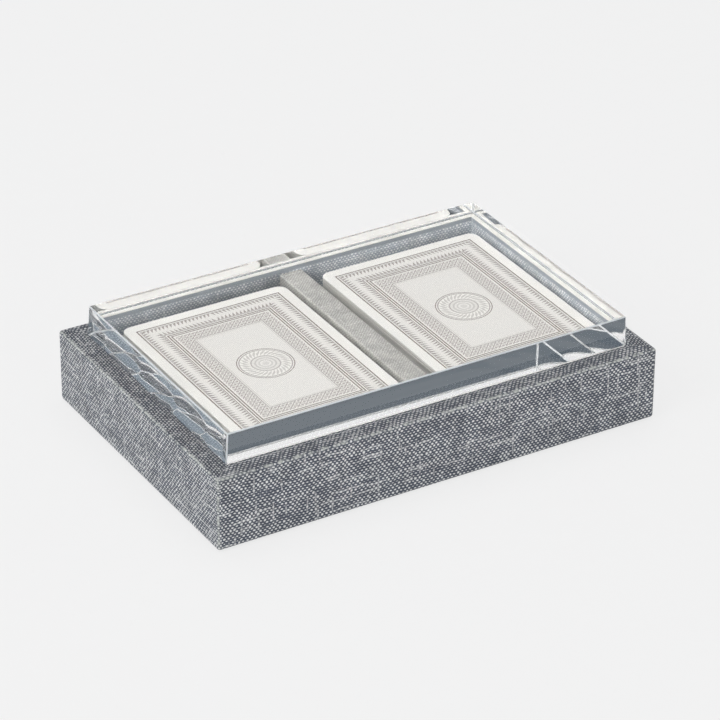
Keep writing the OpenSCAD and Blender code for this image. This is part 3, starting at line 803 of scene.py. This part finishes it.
def card_packet_tree():
    """Geometry nodes for a packet of cards: one card's outline, filled, given its thickness and repeated upwards."""
    tree = bpy.data.node_groups.new("card packet", "GeometryNodeTree")
    face = tree.interface
    for name, kind in (("Cards", "NodeSocketInt"), ("Width", "NodeSocketFloat"), ("Length", "NodeSocketFloat"),
                       ("Corner radius", "NodeSocketFloat"), ("Thickness", "NodeSocketFloat"),
                       ("Pitch", "NodeSocketFloat"), ("Lowest card", "NodeSocketVector"),
                       ("Disorder", "NodeSocketFloat"), ("Seed", "NodeSocketInt"), ("Face", "NodeSocketMaterial")):
        face.new_socket(name, in_out="INPUT", socket_type=kind)
    face.new_socket("Packet", in_out="OUTPUT", socket_type="NodeSocketGeometry")
    given = add(tree, "NodeGroupInput").outputs
    outline = add(tree, "GeometryNodeCurvePrimitiveQuadrilateral",
                  {"Width": given["Width"], "Height": given["Length"]})
    outline = add(tree, "GeometryNodeFilletCurve",
                  {"Curve": outline, "Radius": given["Corner radius"], "Count": 8}, mode="POLY")
    blank = add(tree, "GeometryNodeFillCurve", {"Curve": outline}, mode="NGONS")
    place = add(tree, "GeometryNodeInputPosition")
    in_mm = add(tree, "VectorMath", {0: place, "Scale": 1 / MM}, operation="SCALE")
    blank = add(tree, "GeometryNodeStoreNamedAttribute", {"Geometry": blank, "Name": "card_uv", 3: in_mm},
                data_type="FLOAT2", domain="CORNER")
    raise_by = add(tree, "CombineXYZ", {2: given["Thickness"]})
    back = add(tree, "GeometryNodeExtrudeMesh", {"Mesh": blank, "Offset": raise_by, "Individual": False}, mode="FACES")
    front = add(tree, "GeometryNodeFlipFaces", {"Mesh": blank})
    card = add(tree, "GeometryNodeJoinGeometry")
    tree.links.new(back.outputs[0], card.inputs[0])
    tree.links.new(front.outputs[0], card.inputs[0])
    card = add(tree, "GeometryNodeMergeByDistance", {"Geometry": card, "Distance": 1e-6})
    step = add(tree, "CombineXYZ", {2: given["Pitch"]})
    spots = add(tree, "GeometryNodeMeshLine",
                {"Count": given["Cards"], "Start Location": given["Lowest card"], "Offset": step}, mode="OFFSET")
    least = add(tree, "Math", {0: given["Disorder"], 1: -1.0}, operation="MULTIPLY")
    low_shift = add(tree, "CombineXYZ", {0: least, 1: least})
    high_shift = add(tree, "CombineXYZ", {0: given["Disorder"], 1: given["Disorder"]})
    shift = add(tree, "FunctionNodeRandomValue", {0: low_shift, 1: high_shift, "Seed": given["Seed"]},
                data_type="FLOAT_VECTOR")
    spots = add(tree, "GeometryNodeSetPosition", {"Geometry": spots, "Offset": shift})
    twist = add(tree, "FunctionNodeRandomValue",
                {0: (0, 0, -CARD_TWIST), 1: (0, 0, CARD_TWIST), "Seed": given["Seed"]}, data_type="FLOAT_VECTOR")
    cards = add(tree, "GeometryNodeInstanceOnPoints", {"Points": spots, "Instance": card, "Rotation": twist})
    cards = add(tree, "GeometryNodeRealizeInstances", {"Geometry": cards})
    facing = add(tree, "SeparateXYZ", {0: add(tree, "GeometryNodeInputNormal")})
    upward = add(tree, "FunctionNodeCompare", {0: facing.outputs["Z"], 1: 0.5}, operation="GREATER_THAN")
    downward = add(tree, "FunctionNodeCompare", {0: facing.outputs["Z"], 1: -0.5}, operation="LESS_THAN")
    cards = add(tree, "GeometryNodeSetMaterial", {"Geometry": cards, "Material": cut_edge})
    cards = add(tree, "GeometryNodeSetMaterial", {"Geometry": cards, "Selection": upward, "Material": printed_back})
    cards = add(tree, "GeometryNodeSetMaterial", {"Geometry": cards, "Selection": downward, "Material": given["Face"]})
    add(tree, "NodeGroupOutput", {0: cards})
    return tree


def card_packet(name, node, body, count, seed, face):
    """Makes the cards of a node as one piece, riding on the node's body."""
    low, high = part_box(node)
    middle = (low + high) / 2
    given = {"Cards": count, "Width": high.x - low.x, "Length": high.y - low.y, "Corner radius": CARD_CORNER,
             "Thickness": CARD_T, "Pitch": CARD_PITCH, "Lowest card": (middle.x, middle.y, low.z),
             "Disorder": CARD_SHIFT, "Seed": seed, "Face": face}
    carrier = bpy.data.objects.new(name + "_carrier", bpy.data.meshes.new(name + "_carrier"))
    scene.collection.objects.link(carrier)
    maker = carrier.modifiers.new("cards", "NODES")
    maker.node_group = packet_tree
    for socket in packet_tree.interface.items_tree:
        if socket.in_out == "INPUT":
            maker[socket.identifier] = given[socket.name]
    evaluated = carrier.evaluated_get(bpy.context.evaluated_depsgraph_get())
    mesh = bpy.data.meshes.new_from_object(evaluated)
    bpy.data.objects.remove(carrier)
    mesh.name = name
    packet = bpy.data.objects.new(name, mesh)
    scene.collection.objects.link(packet)
    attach(packet, body)
    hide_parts(node)


packet_tree = card_packet_tree()
PACKETS = (("jokers", "lower_cards", 2), ("clubs", "lower_cards", 13), ("diamonds", "lower_cards", 13),
           ("hearts", "upper_cards", 13), ("spades", "upper_cards", 12), ("top_card", "top_card", 1))
for side, first_seed in (("left", 11), ("right", 31)):
    for turn_no, (suit, body, count) in enumerate(PACKETS):
        card_packet(side + "_" + suit + "_packet", side + "_" + suit, side + "_" + body, count,
                    first_seed + turn_no, FACES[suit])


# The lid: a thick slab of cast acrylic, cut to size and chamfered, that lies loose in the recess of the rim.
# Its long sides were machined and polished, the back one leaning a little. Its short sides were polished with a
# flame, which leaves them hollow and faintly wavy, so they bend what is seen through them.
ACRYLIC_IOR = 1.49


def lit_through(tree, face, tint):
    """Ends an acrylic material: light on its way to what lies behind goes straight through it, dimmed by a tint."""
    through = add(tree, "BsdfTransparent", {"Color": linear(tint)})
    path = add(tree, "LightPath")
    both = add(tree, "MixShader", {0: path.outputs["Is Shadow Ray"], 1: face, 2: through})
    add(tree, "OutputMaterial", {0: both})


def clear_acrylic(name):
    """Cast acrylic, polished: clear with a faint cool tint, a mirror-smooth face and barely visible hairlines."""
    made, tree = new_material(name)
    place = add(tree, "TexCoord")
    wiped = add(tree, "Mapping", {0: place.outputs["Object"], "Scale": (0.03 / MM, 0.9 / MM, 0.9 / MM)})
    hairs = add(tree, "TexNoise", {"Vector": wiped, "Scale": 1.0, "Detail": 3.0})
    polish = add(tree, "MapRange", {0: hairs, 1: 0.55, 2: 0.8, 3: 0.0, 4: 0.008})
    clear = add(tree, "BsdfPrincipled",
                {"Base Color": linear("#fefefe"), "Roughness": polish, "IOR": ACRYLIC_IOR, "Transmission Weight": 1.0})
    lit_through(tree, clear, "#d5d6d6")
    return made


def sanded_acrylic(name):
    """The narrow arris left by fine abrasive paper: frosted, so it draws a pale line along every edge."""
    made, tree = new_material(name)
    place = add(tree, "TexCoord")
    grit = add(tree, "TexNoise", {"Vector": place.outputs["Object"], "Scale": 2.5 / MM, "Detail": 2.0})
    tone = add(tree, "Mix", {0: grit, 6: linear("#e6ebee"), 7: linear("#fdfefe")}, data_type="RGBA")
    frost = add(tree, "BsdfPrincipled",
                {"Base Color": tone.outputs[2], "Roughness": 0.4, "IOR": ACRYLIC_IOR, "Transmission Weight": 0.35})
    lit_through(tree, frost, "#f2f4f4")
    return made


low, high = box_mm("clear_lid")
LID_CHAMFER = 0.4
ARRIS_SLOPE = 0.35
SIDE_ROWS = 14
LID_STATIONS = 240
END_STATIONS = 6

# The short sides, left and right: hollows down the side, every one strayed, bent and deeper or shallower in its own
# way, over a lean and a crown that is hollow too
DIP_STEP, DIP_W, DIP_DEPTH = 23.0, 4.5, 0.22
DIP_STRAY, DIP_BEND, DIP_SPREAD = 1.1, 0.8, 0.2
STRAY_TURN, BEND_TURN, SPREAD_TURN = 2.3, 2.5, 4.1
DIP_SHIFT = {-1: -12.0, 1: 8.0}
LEAN = {-1: 0.55, 1: 0.35}
WAVY = {-1: 1.0, 1: 0.3}
CROWN = {-1: -0.18, 1: -0.15}
BACK_LEAN = 0.35


def side_bulge(y, share, side, ends):
    """How far a flame-polished side stands out at a place along it and at a share of its height, in mm."""
    place = (y + DIP_SHIFT[side]) / DIP_STEP
    dip_no = round(place)
    bend = DIP_STRAY * math.sin(STRAY_TURN * dip_no) + DIP_BEND * math.sin(BEND_TURN * share + dip_no)
    from_dip = (place - dip_no) * DIP_STEP - bend
    depth = DIP_DEPTH * WAVY[side] * (1.0 + DIP_SPREAD * math.sin(SPREAD_TURN * dip_no))
    dip = depth * math.exp(-(from_dip / DIP_W) ** 2)
    crown = CROWN[side] * 4.0 * share * (1.0 - share)
    return LEAN[side] * (0.5 - share) + (crown - dip * (1.0 - share ** 4)) * ends


# Sections across the lid from front to back; the first and the last are the edges of the end faces' chamfers
bm = bmesh.new()
sections = []
for s in range(LID_STATIONS + 1):
    if s in (0, LID_STATIONS):
        y, inset = (low.y if s == 0 else high.y), LID_CHAMFER
    else:
        y = low.y + LID_CHAMFER + (high.y - low.y - 2 * LID_CHAMFER) * (s - 1) / (LID_STATIONS - 2)
        inset = 0.0
    points = []
    ends = min(1.0, (s - 1) / END_STATIONS, (LID_STATIONS - 1 - s) / END_STATIONS) if 0 < s < LID_STATIONS else 0.0
    for side in (1, -1):
        edge = high.x if side > 0 else -low.x
        column = [(edge - LID_CHAMFER - inset + side_bulge(y, 0.0, side, ends), low.z + inset)]
        for r in range(SIDE_ROWS + 1):
            share = r / SIDE_ROWS
            z = low.z + LID_CHAMFER + (high.z - low.z - 2 * LID_CHAMFER) * share
            column.append((edge - inset + side_bulge(y, share, side, ends), z))
        column.append((edge - LID_CHAMFER - inset + side_bulge(y, 1.0, side, ends), high.z - inset))
        if side < 0:
            column.reverse()
        for x, z in column:
            lean = BACK_LEAN * (0.5 - (z - low.z) / (high.z - low.z)) if s >= LID_STATIONS - 1 else 0.0
            points.append((side * x, y + lean, z))
    sections.append([bm.verts.new(Vector(p) * MM) for p in points])
for here, there in zip(sections, sections[1:]):
    for i in range(len(here)):
        j = (i + 1) % len(here)
        bm.faces.new((here[i], here[j], there[j], there[i]))
bm.faces.new(sections[0])
bm.faces.new(sections[-1][::-1])
bmesh.ops.recalc_face_normals(bm, faces=bm.faces)
bm.normal_update()
for face in bm.faces:
    face.material_index = 1 if sum(abs(c) > ARRIS_SLOPE for c in face.normal) > 1 else 0
lid_slab = piece_from("lid_slab", bm, smooth=0.35)
lid_slab.data.materials.append(clear_acrylic("polished cast acrylic"))
lid_slab.data.materials.append(sanded_acrylic("sanded acrylic arris"))
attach(lid_slab, "lid")
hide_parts("clear_lid")
